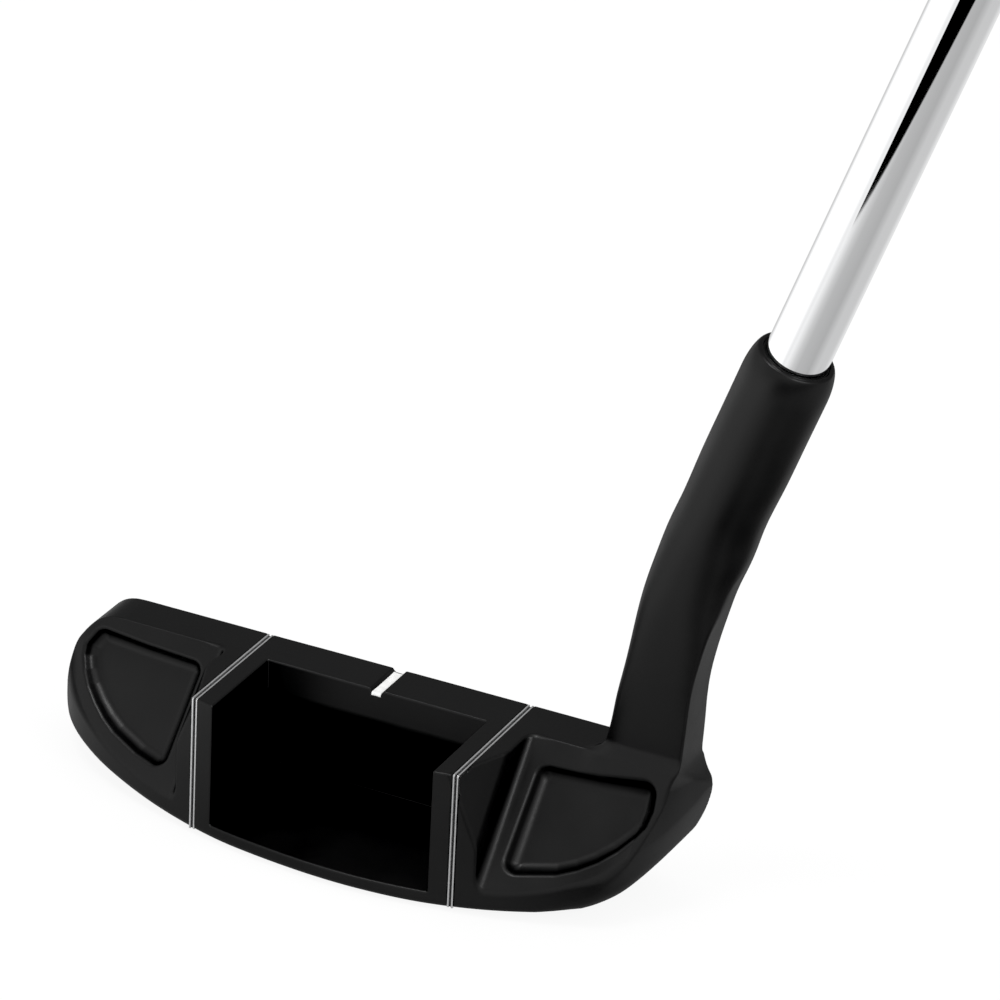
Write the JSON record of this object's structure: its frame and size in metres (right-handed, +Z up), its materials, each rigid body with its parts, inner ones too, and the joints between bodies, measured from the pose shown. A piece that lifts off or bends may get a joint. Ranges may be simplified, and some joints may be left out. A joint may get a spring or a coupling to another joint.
{
  "type": "blade putter",
  "caption": "Blade putter: winged hollow-back head with sole camber and a flow neck, chrome stepless shaft, flat-fronted pistol grip.",
  "frame": {"origin": "middle of the flat of the sole, under the sight line, 12 mm behind the topline's front edge", "axes": "+Z up with the sole at z = 0, +X from toe to heel, +Y the way the striking face looks"},
  "size_m": [0.3969, 0.0392, 0.8147],
  "materials": {
    "black_paint": "satin black paint over cast metal",
    "white_enamel": "white enamel paint fill",
    "bright_metal": "bright machined stripes with a dark floor",
    "chrome_plate": "mirror chrome plate",
    "epoxy": "cured black epoxy",
    "tape": "double sided crepe tape",
    "grip_rubber": "matt moulded rubber with a fine raised pattern",
    "cap_rubber": "smooth moulded rubber"
  },
  "bodies": {
    "root": {"head_casting": "black_paint", "sight_line_fill": "white_enamel", "toe_alignment_inlay": "bright_metal", "heel_alignment_inlay": "bright_metal", "shaft_tube": "chrome_plate", "hosel_epoxy": "epoxy", "grip_tape": "tape", "grip_sleeve": "grip_rubber", "grip_end_cap": "cap_rubber"}
  },
  "joints": []
}
